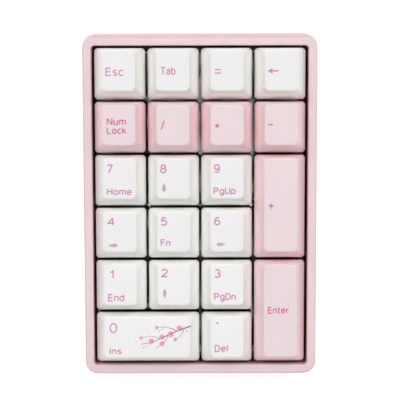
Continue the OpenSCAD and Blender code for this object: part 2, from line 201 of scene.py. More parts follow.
class Solid:
    """Collects rings of points, and the bands and patches between them."""

    def __init__(self, counts=None):
        self.verts, self.faces, self.counts = [], [], counts

    def ring(self, xy, z):
        """Adds a ring; z is a number, a list or a function of x and y."""
        first = len(self.verts)
        heights = [z(x, y) for x, y in xy] if callable(z) else np.broadcast_to(z, len(xy))
        self.verts += [(x, y, h) for (x, y), h in zip(xy, heights)]
        return list(range(first, len(self.verts)))

    def ring3(self, points):
        first = len(self.verts)
        self.verts += [tuple(p) for p in points]
        return list(range(first, len(self.verts)))

    def band(self, a, b):
        n = len(a)
        self.faces += [(a[i], a[(i + 1) % n], b[(i + 1) % n], b[i]) for i in range(n)]

    def bands(self, rings):
        for a, b in zip(rings, rings[1:]):
            self.band(a, b)

    def patch(self, ring, z=None):
        """Fills a ring made by outline() with a grid of quads; z raises the points inside."""
        nx, ny, _ = self.counts
        p = [np.array(self.verts[i]) for i in ring]
        total = len(ring)
        front, right = list(range(nx + 1)), [nx + j for j in range(ny + 1)]
        rear, left = [2 * nx + ny - i for i in range(nx + 1)], [-j % total for j in range(ny + 1)]
        grid = {}
        for i in range(nx + 1):
            for j in range(ny + 1):
                u, v = i / nx, j / ny
                if j in (0, ny) or i in (0, nx):
                    k = front[i] if j == 0 else rear[i] if j == ny else left[j] if i == 0 else right[j]
                    grid[i, j] = ring[k]
                    continue
                point = ((1 - v) * p[front[i]] + v * p[rear[i]] + (1 - u) * p[left[j]] + u * p[right[j]]
                         - (1 - u) * (1 - v) * p[front[0]] - u * (1 - v) * p[front[nx]]
                         - (1 - u) * v * p[rear[0]] - u * v * p[rear[nx]])
                if z:
                    point[2] = z(point[0], point[1])
                grid[i, j] = len(self.verts)
                self.verts.append(tuple(point))
        self.faces += [(grid[i, j], grid[i + 1, j], grid[i + 1, j + 1], grid[i, j + 1])
                       for i in range(nx) for j in range(ny)]

    def fan(self, ring):
        self.faces.append(tuple(ring))

    def closed(self, rings):
        """Bands between rings, with both ends filled."""
        self.bands(rings)
        self.fan(rings[0])
        self.fan(rings[-1])

    def holed(self, outer, inner):
        """Fills between two flat loops, one inside the other."""
        bm = bmesh.new()
        made = []
        for loop in (outer, inner):
            vs = [bm.verts.new(self.verts[i]) for i in loop]
            made += list(zip(vs, loop))
            for a, b in zip(vs, vs[1:] + vs[:1]):
                bm.edges.new((a, b))
        index = {v: i for v, i in made}
        bmesh.ops.triangle_fill(bm, use_beauty=True, use_dissolve=False, edges=bm.edges[:])
        self.faces += [tuple(index[v] for v in f.verts) for f in bm.faces]
        bm.free()


def solid_mesh(name, solid, matrix=None):
    """A Solid as a mesh in metres, with its faces turned outwards."""
    mesh = bpy.data.meshes.new(name)
    mesh.from_pydata([tuple(map(float, v)) for v in solid.verts], [], solid.faces)
    bm = bmesh.new()
    bm.from_mesh(mesh)
    bmesh.ops.recalc_face_normals(bm, faces=bm.faces)
    bm.to_mesh(mesh)
    bm.free()
    mesh.transform(matrix or Matrix.Scale(MM, 4))
    return mesh


def place_piece(name, mesh, material, body, replaces, crease):
    """Shades a mesh, and makes it an object that rides on a body."""
    mesh.shade_smooth()
    mesh.set_sharp_from_angle(angle=math.radians(crease))
    obj = bpy.data.objects.new(name, mesh)
    bpy.context.scene.collection.objects.link(obj)
    mesh.materials.append(material)
    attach(obj, body)
    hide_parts(*replaces)
    return obj


def make_piece(name, solid, material, body, matrix=None, replaces=(), crease=38):
    """A Solid in model millimetres, made into a placed piece of the scene."""
    return place_piece(name, solid_mesh(name, solid, matrix), material, body, replaces, crease)


# ------------------------ materials
def new_material(name):
    material = bpy.data.materials.new(name)
    material.use_nodes = True
    tree = material.node_tree
    shader = tree.nodes["Principled BSDF"]
    place = tree.nodes.new("ShaderNodeTexCoord").outputs["Object"]
    return material, tree, shader, place


def noise(tree, place, size_mm, detail=3.0, stretch=(1, 1, 1)):
    """Noise whose features are about size_mm across."""
    mapping = tree.nodes.new("ShaderNodeMapping")
    mapping.inputs["Scale"].default_value = [s / (size_mm * MM) for s in stretch]
    texture = tree.nodes.new("ShaderNodeTexNoise")
    texture.inputs["Scale"].default_value = 1.0
    texture.inputs["Detail"].default_value = detail
    tree.links.new(place, mapping.inputs["Vector"])
    tree.links.new(mapping.outputs["Vector"], texture.inputs["Vector"])
    return texture.outputs["Fac"]


def ramp(tree, factor, low, high, start=0.3, end=0.7):
    """Maps a factor onto a range of numbers, or of colours."""
    if isinstance(low, (int, float)):
        node = tree.nodes.new("ShaderNodeMapRange")
        node.inputs["From Min"].default_value, node.inputs["From Max"].default_value = start, end
        node.inputs["To Min"].default_value, node.inputs["To Max"].default_value = low, high
        tree.links.new(factor, node.inputs["Value"])
        return node.outputs["Result"]
    node = tree.nodes.new("ShaderNodeValToRGB")
    for element, position, colour in zip(node.color_ramp.elements, (start, end), (low, high)):
        element.position, element.color = position, (*colour, 1)
    tree.links.new(factor, node.inputs["Fac"])
    return node.outputs["Color"]


def vary(tree, shader, socket, factor, low, high, start=0.3, end=0.7):
    """Drives one of the shader's sockets from low to high."""
    tree.links.new(ramp(tree, factor, low, high, start, end), shader.inputs[socket])


def bump(tree, shader, layers):
    """Adds height layers, each (factor, strength, distance in mm), one on top of another."""
    normal = None
    for factor, strength, distance in layers:
        node = tree.nodes.new("ShaderNodeBump")
        node.inputs["Strength"].default_value = strength
        node.inputs["Distance"].default_value = distance * MM
        tree.links.new(factor, node.inputs["Height"])
        if normal:
            tree.links.new(normal, node.inputs["Normal"])
        normal = node.outputs["Normal"]
    tree.links.new(normal, shader.inputs["Normal"])


def linear(r, g, b):
    """A colour given as it looks on screen, 0 to 255, in the shader's linear values."""
    return tuple(((c / 255 + 0.055) / 1.055) ** 2.4 if c > 10 else c / 255 / 12.92 for c in (r, g, b))


def shade(colour, k):
    return tuple(min(1.0, c * k) for c in colour)


def moulded(name, colour, rough, grain_mm, grain, mottle=0.02, glow=0.0, side=None):
    """Moulded plastic: spark-eroded grain, and a slight unevenness of colour and gloss. Where side is given,
    faces that point sideways take that colour and faces that point up keep colour: painted light and shade."""
    material, tree, shader, place = new_material(name)
    cloud = noise(tree, place, 9.0, 2.0)
    grains = noise(tree, place, grain_mm, 4.0)
    tone = ramp(tree, cloud, shade(colour, 1 - mottle), shade(colour, 1 + mottle))
    # Painted light and shade: the walls take the side colour, and faces that point up keep the top's colour.
    if side:
        split = tree.nodes.new("ShaderNodeSeparateXYZ")
        tree.links.new(tree.nodes.new("ShaderNodeTexCoord").outputs["Normal"], split.inputs[0])
        painted_side_mix = tree.nodes.new("ShaderNodeMix")
        painted_side_mix.data_type = "RGBA"
        painted_side_mix.inputs["A"].default_value = (*side, 1)
        tree.links.new(ramp(tree, split.outputs["Z"], 0.0, 1.0, 0.75, 0.97), painted_side_mix.inputs["Factor"])
        tree.links.new(tone, painted_side_mix.inputs["B"])
        tone = painted_side_mix.outputs["Result"]
    tree.links.new(tone, shader.inputs["Base Color"])
    vary(tree, shader, "Roughness", grains, rough - 0.06, rough + 0.06)
    bump(tree, shader, [(grains, grain, 0.02), (noise(tree, place, 3.2, 1.0), 0.1, 0.015)])
    if glow:
        shader.inputs["Subsurface Weight"].default_value = glow
        shader.inputs["Subsurface Radius"].default_value = (1.0, 0.7, 0.6)
        shader.inputs["Subsurface Scale"].default_value = 0.6 * MM
    return material


def metal(name, colour, rough, stretch=(1, 1, 1), grain_mm=0.12, grain=0.15):
    """Metal with drawing or brushing marks along the axis that stretch makes long."""
    material, tree, shader, place = new_material(name)
    marks = noise(tree, place, grain_mm, 5.0, stretch)
    vary(tree, shader, "Base Color", marks, shade(colour, 0.9), shade(colour, 1.05))
    vary(tree, shader, "Roughness", marks, rough - 0.08, rough + 0.1)
    shader.inputs["Metallic"].default_value = 1.0
    bump(tree, shader, [(marks, grain, 0.01)])
    return material


def satin_coat(name, colour):
    """A smooth coat on sheet steel that mirrors what is overhead, softly and unevenly."""
    material, tree, shader, place = new_material(name)
    speckle = noise(tree, place, 0.25, 2.0)
    vary(tree, shader, "Base Color", speckle, shade(colour, 0.93), shade(colour, 1.05))
    vary(tree, shader, "Roughness", noise(tree, place, 6.0, 3.0), 0.14, 0.22)
    shader.inputs["Metallic"].default_value = 1.0
    bump(tree, shader, [(speckle, 0.15, 0.01)])
    return material


def rubber(name, colour):
    material, tree, shader, place = new_material(name)
    dust = noise(tree, place, 2.2, 5.0)
    pores = noise(tree, place, 0.18, 2.0)
    vary(tree, shader, "Base Color", dust, colour, shade(colour, 1.7), 0.45, 0.75)
    vary(tree, shader, "Roughness", pores, 0.72, 0.92)
    bump(tree, shader, [(pores, 0.4, 0.02)])
    return material


def printed(name, colour):
    """Dye that has sunk into a cap: it takes the cap's grain and fades a little at random."""
    material, tree, shader, place = new_material(name)
    fade = noise(tree, place, 0.5, 2.0)
    vary(tree, shader, "Base Color", fade, shade(colour, 0.94), shade(colour, 1.06))
    vary(tree, shader, "Roughness", fade, 0.5, 0.62)
    bump(tree, shader, [(noise(tree, place, 0.16, 3.0), 0.12, 0.01)])
    return material


def circuit(name):
    """White solder mask with faint straight tracks showing through."""
    material, tree, shader, place = new_material(name)
    wave = tree.nodes.new("ShaderNodeTexWave")
    wave.inputs["Scale"].default_value = 140.0
    wave.inputs["Distortion"].default_value = 0.6
    tree.links.new(place, wave.inputs["Vector"])
    dark, light = linear(226, 222, 210), linear(240, 238, 230)
    vary(tree, shader, "Base Color", wave.outputs["Fac"], dark, light, 0.45, 0.55)
    shader.inputs["Roughness"].default_value = 0.35
    bump(tree, shader, [(wave.outputs["Fac"], 0.2, 0.03)])
    return material


# The last colour given to the caps and the case is painted light and shade for their walls; their tops keep
# the first colour.
WHITE_CAP = moulded("white_cap_plastic", linear(247, 246, 246), 0.55, 0.16, 0.22, 0.006, 0.06,
                    linear(252, 251, 248))
PINK_CAP = moulded("pink_cap_plastic", linear(244, 226, 229), 0.55, 0.16, 0.22, 0.01, 0.06,
                   linear(252, 223, 227))
CASE = moulded("case_plastic", linear(238, 217, 220), 0.42, 0.2, 0.2, 0.01, 0.05, linear(237, 196, 204))
HOUSING = moulded("housing_nylon", (0.02, 0.02, 0.022), 0.45, 0.2, 0.2, 0.1)
HOUSING_TOP = moulded("housing_cover_nylon", (0.026, 0.026, 0.028), 0.4, 0.2, 0.2, 0.1)
STEM = moulded("stem_acetal", (0.42, 0.09, 0.05), 0.35, 0.3, 0.06, 0.03, 0.05)
SLIDER = moulded("slider_acetal", linear(236, 235, 228), 0.35, 0.3, 0.06, 0.02, 0.1)
CHIP = moulded("component_epoxy", (0.015, 0.015, 0.017), 0.5, 0.12, 0.3, 0.15)
PLATE_COAT = satin_coat("plate_coat", linear(104, 103, 101))
BOARD = circuit("board_mask")
RUBBER = rubber("foot_rubber", (0.02, 0.019, 0.02))
SCREW_STEEL = metal("screw_steel", linear(240, 240, 238), 0.2)
SHELL_STEEL = metal("socket_steel", linear(206, 206, 205), 0.3, (1, 6, 1))
WIRE_STEEL = metal("wire_steel", linear(210, 211, 212), 0.22, (1, 1, 1), 0.08)
GOLD = metal("contact_gold", (0.86, 0.6, 0.24), 0.25)
INK = printed("legend_pink", linear(216, 142, 186))
MARK_INK = printed("mark_mauve", linear(208, 172, 194))
INK_STRONG = printed("legend_deep_pink", linear(222, 116, 160))
TWIG_INK = printed("twig_brown", linear(150, 110, 112))
PETAL_INK = printed("petal_pink", linear(236, 166, 190))
HEART_INK = printed("petal_heart", linear(206, 92, 124))


# ------------------------ keycaps
STEP_MM = 0.62             # about the length of a quad on a long cap
CORNER_STEPS = 5
CAP_ROWS = 7               # rings up a wall, and again around its rim


def cap_counts(key):
    return tuple(22 + 2 * round(e / STEP_MM / 2) for e in key.extra) + (CORNER_STEPS,)


def cap_solid(key):
    """A dished cap: skirt, walls, rounded rim, top, and the hollow inside."""
    s = Solid(cap_counts(key))
    (bw, bd), (tw, td) = key.base, key.top

    def skirt(inset):
        return outline(bw - 2 * inset, bd - 2 * inset, (SKIRT_R - inset / 3,) * 2, s.counts)

    def face(inset):
        r = TOP_R - 0.7 * inset
        return outline(tw - 2 * inset, td - 2 * inset, (r, r), s.counts, 0, CAP_SKEW)

    def under(x, y):
        return key.plane(y) - CAP_CEILING - DISH

    out = skirt(-1.0) - skirt(0)
    edge = face(0)
    edge3 = np.array([(x, y, key.surface(x, y)) for x, y in edge])
    foot3 = np.array([(x, y, 0.0) for x, y in skirt(0)])
    wall = edge3 - foot3
    shoulder = edge3 - wall * (FILLET / np.linalg.norm(wall, axis=1))[:, None]
    inner = face(FILLET)
    lip = np.array([(x, y, key.surface(x, y)) for x, y in inner])
    rings = [s.ring(skirt(0.24), 0.0), s.ring(skirt(0.07), 0.07)]
    for k in range(1, CAP_ROWS + 1):
        t = k / CAP_ROWS
        swell = BULGE * math.sin(math.pi * t)
        points = foot3 + (shoulder - foot3) * (0.03 + 0.97 * t)
        points[:, :2] += out * swell
        rings.append(s.ring3(points))
    for k in range(1, CAP_ROWS + 1):
        t = k / CAP_ROWS
        rings.append(s.ring3((1 - t) ** 2 * shoulder + 2 * t * (1 - t) * edge3 + t * t * lip))
    s.bands(rings)
    s.patch(rings[-1], key.surface)
    ceiling = outline(tw - 1.6 * CAP_WALL, td - 1.6 * CAP_WALL, (1.2, 1.2), s.counts, 0, CAP_SKEW)
    hollow = [s.ring(skirt(CAP_WALL - 0.12), 0.0), s.ring(skirt(CAP_WALL), 0.12), s.ring(ceiling, under)]
    s.band(hollow[0], rings[0])
    s.bands(hollow)
    s.patch(hollow[-1], under)
    for x, y in key.posts():
        cap_post(s, x, y, min(under(x, y - POST_R), under(x, y + POST_R)) + 0.25)
    return s


def cap_post(s, x, y, top):
    """The round post inside a cap, with the cross-shaped socket that a stem fits."""
    long, wide, thin = (v / 2 for v in CROSS)
    corners = [(thin, wide), (long, wide), (long, -wide), (thin, -wide), (thin, -long), (-thin, -long),
               (-thin, -wide), (-long, -wide), (-long, wide), (-thin, wide), (-thin, long), (thin, long)]
    cross = [(x + a, y + b) for a, b in corners]
    circle = arc(x, y, POST_R, 0, 360, 40)[:-1]
    rim, head = s.ring(circle, POST_FROM), s.ring(circle, top)
    mouth, roof = s.ring(cross, POST_FROM), s.ring(cross, CROSS_TOP)
    s.band(rim, head)
    s.band(mouth, roof)
    s.holed(rim, mouth)
    s.fan(roof)
    s.fan(head)


for key in KEYS:
    make_piece("cap_" + key.name, cap_solid(key), PINK_CAP if key.pink else WHITE_CAP, "key_" + key.name,
               key.matrix, ["keycap_" + key.name])


# ------------------------ legends
# Each glyph is (width, strokes) in a box where capitals are 1 high. A stroke joins points (x, y)
# and arcs (centre x, centre y, radius x, radius y, start, end) with straight lines.
OVAL = (0.25, 0.36, 0.25, 0.36, 90, 450)
GLYPHS = {
    "0": (0.54, [[(0.27, 0.5, 0.27, 0.5, 90, 450)]]),
    "1": (0.25, [[(0, 0.76), (0.25, 1), (0.25, 0)]]),
    "2": (0.53, [[(0.265, 0.73, 0.255, 0.27, 170, -38), (0, 0), (0.53, 0)]]),
    "3": (0.51, [[(0.25, 0.76, 0.22, 0.24, 155, -90)], [(0.25, 0.26, 0.26, 0.26, 90, -155)]]),
    "4": (0.56, [[(0.42, 0), (0.42, 1)], [(0.42, 1), (0, 0.3), (0.56, 0.3)]]),
    "5": (0.52, [[(0.48, 1), (0.11, 1), (0.05, 0.5)], [(0.25, 0.32, 0.27, 0.32, 140, -150)]]),
    "6": (0.53, [[(0.27, 0.31, 0.255, 0.31, 90, 450)], [(0.29, 0.5, 0.275, 0.5, 180, 50)]]),
    "7": (0.52, [[(0, 1), (0.52, 1), (0.17, 0)]]),
    "8": (0.54, [[(0.27, 0.755, 0.215, 0.245, 90, 450)], [(0.27, 0.265, 0.265, 0.265, 90, 450)]]),
    "9": (0.53, [[(0.26, 0.69, 0.255, 0.31, 90, 450)], [(0.24, 0.5, 0.275, 0.5, 0, -130)]]),
    "D": (0.56, [[(0, 0), (0, 1), (0.24, 1), (0.24, 0.5, 0.32, 0.5, 90, -90), (0, 0)]]),
    "E": (0.52, [[(0.5, 1), (0, 1), (0, 0), (0.52, 0)], [(0, 0.52), (0.46, 0.52)]]),
    "F": (0.5, [[(0.5, 1), (0, 1), (0, 0)], [(0, 0.52), (0.43, 0.52)]]),
    "H": (0.56, [[(0, 0), (0, 1)], [(0.56, 0), (0.56, 1)], [(0, 0.53), (0.56, 0.53)]]),
    "I": (0.04, [[(0.02, 0), (0.02, 1)]]),
    "L": (0.46, [[(0, 1), (0, 0), (0.46, 0)]]),
    "N": (0.56, [[(0, 0), (0, 1)], [(0, 1), (0.56, 0)], [(0.56, 0), (0.56, 1)]]),
    "P": (0.54, [[(0, 0), (0, 1), (0.28, 1), (0.28, 0.74, 0.26, 0.26, 90, -90), (0, 0.48)]]),
    "T": (0.58, [[(0, 1), (0.58, 1)], [(0.29, 1), (0.29, 0)]]),
    "U": (0.54, [[(0, 1), (0.27, 0.28, 0.27, 0.28, 180, 360), (0.54, 1)]]),
    "a": (0.43, [[(0.2, 0.53, 0.2, 0.19, 160, 0), (0.4, 0)],
                 [(0.4, 0.42), (0.2, 0.405), (0.19, 0.205, 0.19, 0.2, 90, 350)]]),
    "b": (0.5, [[(0, 1), (0, 0)], [OVAL]]),
    "c": (0.44, [[(0.25, 0.36, 0.25, 0.36, 45, 315)]]),
    "d": (0.5, [[(0.5, 1), (0.5, 0)], [OVAL]]),
    "e": (0.5, [[(0.01, 0.38), (0.49, 0.38), (0.25, 0.36, 0.245, 0.36, 8, 315)]]),
    "g": (0.5, [[(0.25, 0.37, 0.25, 0.35, 90, 450)], [(0.5, 0.72), (0.25, -0.05, 0.25, 0.22, 0, -150)]]),
    "k": (0.43, [[(0, 0), (0, 1)], [(0.4, 0.72), (0, 0.28)], [(0.15, 0.43), (0.43, 0)]]),
    "l": (0.04, [[(0.02, 0), (0.02, 1)]]),
    "m": (0.72, [[(0, 0), (0, 0.72)], [(0.18, 0.52, 0.18, 0.2, 180, 0), (0.36, 0)],
                 [(0.54, 0.52, 0.18, 0.2, 180, 0), (0.72, 0)]]),
    "n": (0.44, [[(0, 0), (0, 0.72)], [(0.22, 0.48, 0.22, 0.24, 180, 0), (0.44, 0)]]),
    "o": (0.5, [[OVAL]]),
    "p": (0.5, [[(0, 0.72), (0, -0.27)], [OVAL]]),
    "r": (0.28, [[(0, 0), (0, 0.72)], [(0.27, 0.42, 0.27, 0.29, 180, 85)]]),
    "s": (0.4, [[(0.2, 0.54, 0.18, 0.18, 30, 270)], [(0.2, 0.18, 0.19, 0.18, 90, -150)]]),
    "t": (0.28, [[(0.12, 0.94), (0.28, 0.15, 0.16, 0.15, 180, 280)], [(0, 0.7), (0.28, 0.7)]]),
    "u": (0.44, [[(0, 0.72), (0.22, 0.24, 0.22, 0.24, 180, 360)], [(0.44, 0.72), (0.44, 0)]]),
    "=": (1, [[(0, 1), (1, 1)], [(0, 0), (1, 0)]]),
    "-": (1, [[(0, 0.5), (1, 0.5)]]),
    "+": (1, [[(0, 0.5), (1, 0.5)], [(0.5, 0), (0.5, 1)]]),
    "/": (1, [[(0, 0), (1, 1)]]),
    "*": (1, [[(0.5, 0.5), (0.5 + 0.5 * math.cos(a), 0.5 + 0.5 * math.sin(a))]
              for a in (math.radians(90 + 72 * k) for k in range(5))]),
    "<": (1, [[(0.12, 0.5), (1, 0.5)], [(0.38, 0.86), (0, 0.5), (0.38, 0.14)]]),
}
LETTER_GAP = 0.24

# Legends of each key: (text, left, bottom, width, height of a capital, pen), in mm from the key's
# middle. A bottom edge is that of a capital, and a g or a p hangs below it.
DIGIT, WORD = 0.48, 0.43
LEGENDS = {
    "escape": [("Esc", -4.45, -0.75, 6.35, 2.95, WORD)],
    "tab": [("Tab", -4.3, -0.42, 5.35, 2.85, WORD)],
    "equals": [("=", -4.5, -0.02, 2.5, 1.65, 0.45)],
    "backspace": [("<", -4.65, -0.3, 3.8, 2.5, 0.52)],
    "num_lock": [("Num", -4.2, 1.12, 6.8, 2.6, WORD), ("Lock", -4.2, -2.0, 6.9, 2.5, WORD)],
    "divide": [("/", -4.3, -0.7, 1.5, 3.6, 0.44)],
    "multiply": [("*", -4.5, -0.1, 2.0, 2.0, 0.42)],
    "minus": [("-", -4.85, 0.94, 2.2, 0.5, 0.5)],
    "seven": [("7", -4.45, 3.1, 2.1, 3.15, DIGIT), ("Home", -4.45, -4.68, 8.8, 2.55, WORD)],
    "eight": [("8", -4.7, 3.1, 2.4, 3.15, DIGIT)],
    "nine": [("9", -4.68, 3.15, 2.25, 3.15, DIGIT), ("PgUp", -4.8, -4.4, 7.9, 2.45, WORD)],
    "plus": [("+", -4.55, -0.35, 2.4, 2.4, 0.48)],
    "four": [("4", -4.4, 3.25, 2.5, 3.05, DIGIT)],
    "five": [("5", -4.62, 3.3, 2.4, 3.05, DIGIT), ("Fn", -4.6, -3.95, 3.5, 2.5, WORD)],
    "six": [("6", -4.62, 3.4, 2.3, 3.0, DIGIT)],
    "one": [("1", -3.8, 3.25, 1.4, 3.05, DIGIT), ("End", -4.4, -4.62, 5.8, 2.6, WORD)],
    "two": [("2", -4.48, 3.82, 2.45, 3.0, DIGIT)],
    "three": [("3", -4.55, 3.55, 2.3, 3.1, DIGIT), ("PgDn", -4.65, -4.3, 7.75, 2.55, WORD)],
    "enter": [("Enter", -4.48, 0.05, 7.65, 2.6, WORD)],
    "zero": [("0", -13.6, 2.65, 2.75, 3.65, DIGIT), ("Ins", -13.62, -4.8, 4.4, 2.35, WORD)],
    "decimal": [("Del", -4.46, -4.12, 4.8, 2.6, WORD)],
}

# Direction marks: (x, y, heading in degrees) of a drop whose tip points along the heading
DROPS = {"eight": (-3.3, -1.9, 90), "four": (-2.55, -3.65, 180), "six": (-2.15, -3.35, 0),
         "two": (-3.25, -2.1, 270)}
DROP = (3.2, 1.3)
INK_TOP, INK_STEP, INK_ROOT = 0.012, 0.002, -0.04    # heights above and below the cap's face


def ink_height(layer):
    """Neighbouring strokes differ in height, so that crossings don't flicker."""
    return INK_TOP + INK_STEP * (layer % 5)


class Print:
    """Ink on one key: thin solids that follow the dished top."""

    def __init__(self, key):
        self.key, self.solid, self.layer = key, Solid(), 0

    def lay(self, points, lift):
        return self.solid.ring3([(x, y, self.key.surface(x, y) + lift) for x, y in points])

    def pen(self, points, widths):
        """A stroke along points, with mitred corners and square ends."""
        p = np.array(points, float)
        half = np.broadcast_to(widths, len(p)) / 2
        closed = np.linalg.norm(p[0] - p[-1]) < 1e-6
        step = np.diff(p, axis=0)
        step /= np.linalg.norm(step, axis=1)[:, None]
        before = np.vstack([step[-1] if closed else step[0], step])
        after = np.vstack([step, step[0] if closed else step[-1]])
        side = before + after
        side /= np.linalg.norm(side, axis=1)[:, None]
        reach = half / np.maximum((side * after).sum(axis=1), 0.5)
        across = np.column_stack([-side[:, 1], side[:, 0]]) * reach[:, None]
        self.layer += 1
        top = ink_height(self.layer)
        left, right = self.lay(p + across, top), self.lay(p - across, top)
        low_left, low_right = self.lay(p + across, INK_ROOT), self.lay(p - across, INK_ROOT)
        for i in range(len(p) - 1):
            for a, b in ((left, right), (right, low_right), (low_right, low_left), (low_left, left)):
                self.solid.faces.append((a[i], b[i], b[i + 1], a[i + 1]))
        if not closed:
            for i in (0, -1):
                self.solid.faces.append((left[i], right[i], low_right[i], low_left[i]))

    def shape(self, points):
        """A filled shape that every ray from its middle leaves once."""
        p = np.array(points, float)
        middle = p.mean(axis=0)
        self.layer += 1
        top = ink_height(self.layer)
        rings = [self.lay(middle + (p - middle) * k, top) for k in (0.35, 0.7, 1)]
        self.solid.closed([*rings, self.lay(p, INK_ROOT)])

    def word(self, text, left, bottom, width, height, pen):
        natural = sum(GLYPHS[c][0] for c in text) + LETTER_GAP * (len(text) - 1)
        sx, sy = (width - pen) / natural, height - pen
        at = 0.0
        for c in text:
            for stroke in GLYPHS[c][1]:
                points = [(left + pen / 2 + (at + x) * sx, bottom + pen / 2 + y * sy)
                          for x, y in trace(stroke)]
                self.pen(fine(points), pen)
            at += GLYPHS[c][0] + LETTER_GAP

    def done(self, name, ink):
        key = self.key
        make_piece(name, self.solid, ink, "key_" + key.name, key.matrix, ["keycap_" + key.name])


def trace(stroke):
    """The points of a stroke, with its arcs opened out."""
    points = []
    for item in stroke:
        if len(item) == 2:
            points.append(item)
            continue
        cx, cy, rx, ry, start, end = item
        points += arc(cx, cy, rx, start, end, max(4, round(abs(end - start) / 12)), ry)
    return points


def fine(points, step=0.45):
    """Splits long straight runs, so that a stroke follows the curve of the cap."""
    out = [points[0]]
    for a, b in zip(points, points[1:]):
        length = math.dist(a, b)
        if length < 1e-6:
            continue
        n = max(1, math.ceil(length / step))
        out += [(a[0] + (b[0] - a[0]) * k / n, a[1] + (b[1] - a[1]) * k / n) for k in range(1, n + 1)]
    return out


def drop(x, y, length, width, heading, sharp=1.0):
    """The outline of a drop whose tip points along heading."""
    a = math.radians(heading)
    points = []
    for k in range(24):
        t = 2 * math.pi * (k + 0.5) / 24
        u = length / 2 * math.cos(t)
        v = width / 2 * math.sin(t) * abs(math.sin(t / 2)) ** sharp * 1.25
        points.append((x + u * math.cos(a) - v * math.sin(a), y + u * math.sin(a) + v * math.cos(a)))
    return points


def curve(points, n=8):
    """A smooth line through points (Catmull-Rom)."""
    p = [np.array(q, float) for q in (points[0], *points, points[-1])]
    out = [p[1]]
    for a, b, c, d in zip(p, p[1:], p[2:], p[3:]):
        for k in range(1, n + 1):
            t = k / n
            out.append(0.5 * (2 * b + (c - a) * t + (2 * a - 5 * b + 4 * c - d) * t * t
                              + (3 * b - a - 3 * c + d) * t ** 3))
    return out


for key in KEYS:
    ink = Print(key)
    for legend in LEGENDS[key.name]:
        ink.word(*legend)
    if key.name == "decimal":
        ink.shape(arc(-3.4, 6.1, 0.42, 0, 345, 23))
    ink.done("legend_" + key.name, INK_STRONG if key.pink else INK)
for name, (x, y, heading) in DROPS.items():
    mark = Print(KEY[name])
    mark.shape(drop(x, y, *DROP, heading))
    mark.done("mark_" + name, MARK_INK)

# A twig in flower, printed across the widest key: each branch is (start width, end width, points)
TWIG = [
    (0.46, 0.16, [(15.6, 5.2), (13.2, 4.3), (10.6, 3.3), (7.4, 1.9), (4.6, 0.6), (1.6, -0.6), (-1.6, -1.2)]),
    (0.26, 0.08, [(10.6, 3.3), (8.6, 4.2), (6.0, 4.7), (3.4, 4.6)]),
    (0.24, 0.08, [(7.4, 1.9), (6.6, 0.2), (5.4, -1.1), (3.6, -2.3)]),
    (0.2, 0.07, [(4.6, 0.6), (2.4, 1.3), (0.2, 1.4), (-2.2, 0.9)]),
    (0.2, 0.07, [(13.2, 4.3), (12.6, 2.6), (11.3, 1.2), (9.9, 0.3)]),
    (0.14, 0.06, [(1.6, -0.6), (0.2, -1.8), (-1.2, -2.4)]),
    (0.12, 0.06, [(6.0, 4.7), (5.2, 3.9), (4.4, 3.4)]),
]
# Flowers are (x, y, petal length, turn in degrees)
FLOWERS = [(11.5, 4.3, 1.05, 10), (8.3, 2.2, 1.1, 40), (5.2, 1.2, 0.95, 25), (1.4, -0.3, 1.0, 55),
           (5.2, -1.1, 0.9, 5), (3.3, 4.5, 0.65, 30), (-2.3, 0.9, 0.6, 15), (10.0, 0.4, 0.7, 60)]
# Buds and loose petals are (x, y, length, heading in degrees)
PETALS = [(-1.9, -1.3, 0.8, 190), (-1.4, -2.5, 0.7, 215), (3.4, -2.4, 0.8, 230), (4.2, 3.3, 0.6, 220),
          (14.2, 3.4, 0.7, 250), (12.4, 1.1, 0.5, 300), (-4.2, -0.4, 0.6, 160), (-4.9, -2.2, 0.5, 200),
          (0.4, 2.9, 0.5, 140), (7.3, -2.5, 0.5, 250), (-0.6, 3.8, 0.45, 120)]

twig = Print(KEY["zero"])
for start, end, points in TWIG:
    line = curve(points)
    twig.pen(line, np.linspace(start, end, len(line)))
twig.done("twig_branches", TWIG_INK)
bloom, heart = Print(KEY["zero"]), Print(KEY["zero"])
for x, y, size, turn in FLOWERS:
    for k in range(5):
        a = math.radians(turn + 72 * k)
        bloom.shape(drop(x + 0.55 * size * math.cos(a), y + 0.55 * size * math.sin(a),
                         size, 0.85 * size, turn + 72 * k + 180, 0.6))
    heart.layer = 5
    heart.shape(arc(x, y, 0.2 * size, 0, 330, 11))
for x, y, size, heading in PETALS:
    bloom.shape(drop(x, y, size, 0.6 * size, heading, 0.8))
bloom.done("twig_petals", PETAL_INK)
heart.done("twig_hearts", HEART_INK)


# ------------------------ case
# Points of the case are in millimetres in the row's frame, or turned into it by world().
RIM_H = 9.0
SEAM = -4.0
LEDGE = 0.8
FRONT_R, REAR_R = 4.5, 5.5
BEVEL_W = 2.0
BEVEL_DEG = 60
SEAT_TOP = 2.0            # the floor's thickness
BAY = (-57.8, 58.2)       # the lower case's inside faces, front and rear
TONGUE = (1.6, 0.9)
WALL_GAP = 0.15
GROOVE = 0.22             # depth of the groove along the seam
CASE_COUNTS = (30, 44, 7)
FOOT_H, FOOT_RECESS, FOOT_GAP = 1.2, 0.8, 0.1
FOOT_SIZE, FOOT_AT = (16, 6), [(x, y) for x in (-27, 27) for y in (-52, 52)]
SOCKET_W, SOCKET_H, SOCKET_LEN, SOCKET_WALL = 8.94, 3.26, 7.3, 0.3
PORT_W, PORT_H = 11.0, 5.4
socket_low, socket_high = plate_box("cable_socket")
SOCKET_Y, SOCKET_Z = socket_high[1], (socket_low[2] + socket_high[2]) / 2

CASE_W, CASE_D = ((np.array(cad_box[1]) - np.array(cad_box[0])) / MM)[:2]
PLATE_SIZE = (plate_high - plate_low)[:2]
OPENING = PLATE_SIZE - 2 * LEDGE
WALL_IN = PLATE_SIZE / 2 + WALL_GAP
SIN, COS, TAN = math.sin(TILT), math.cos(TILT), math.tan(TILT)
origin = np.array(PLATE @ Vector((0, 0, 0))) / MM


def world(x, y, z):
    """A point of the plate's frame, in mm, in the row's frame."""
    return (x, origin[1] + y * COS - z * SIN, origin[2] + y * SIN + z * COS)


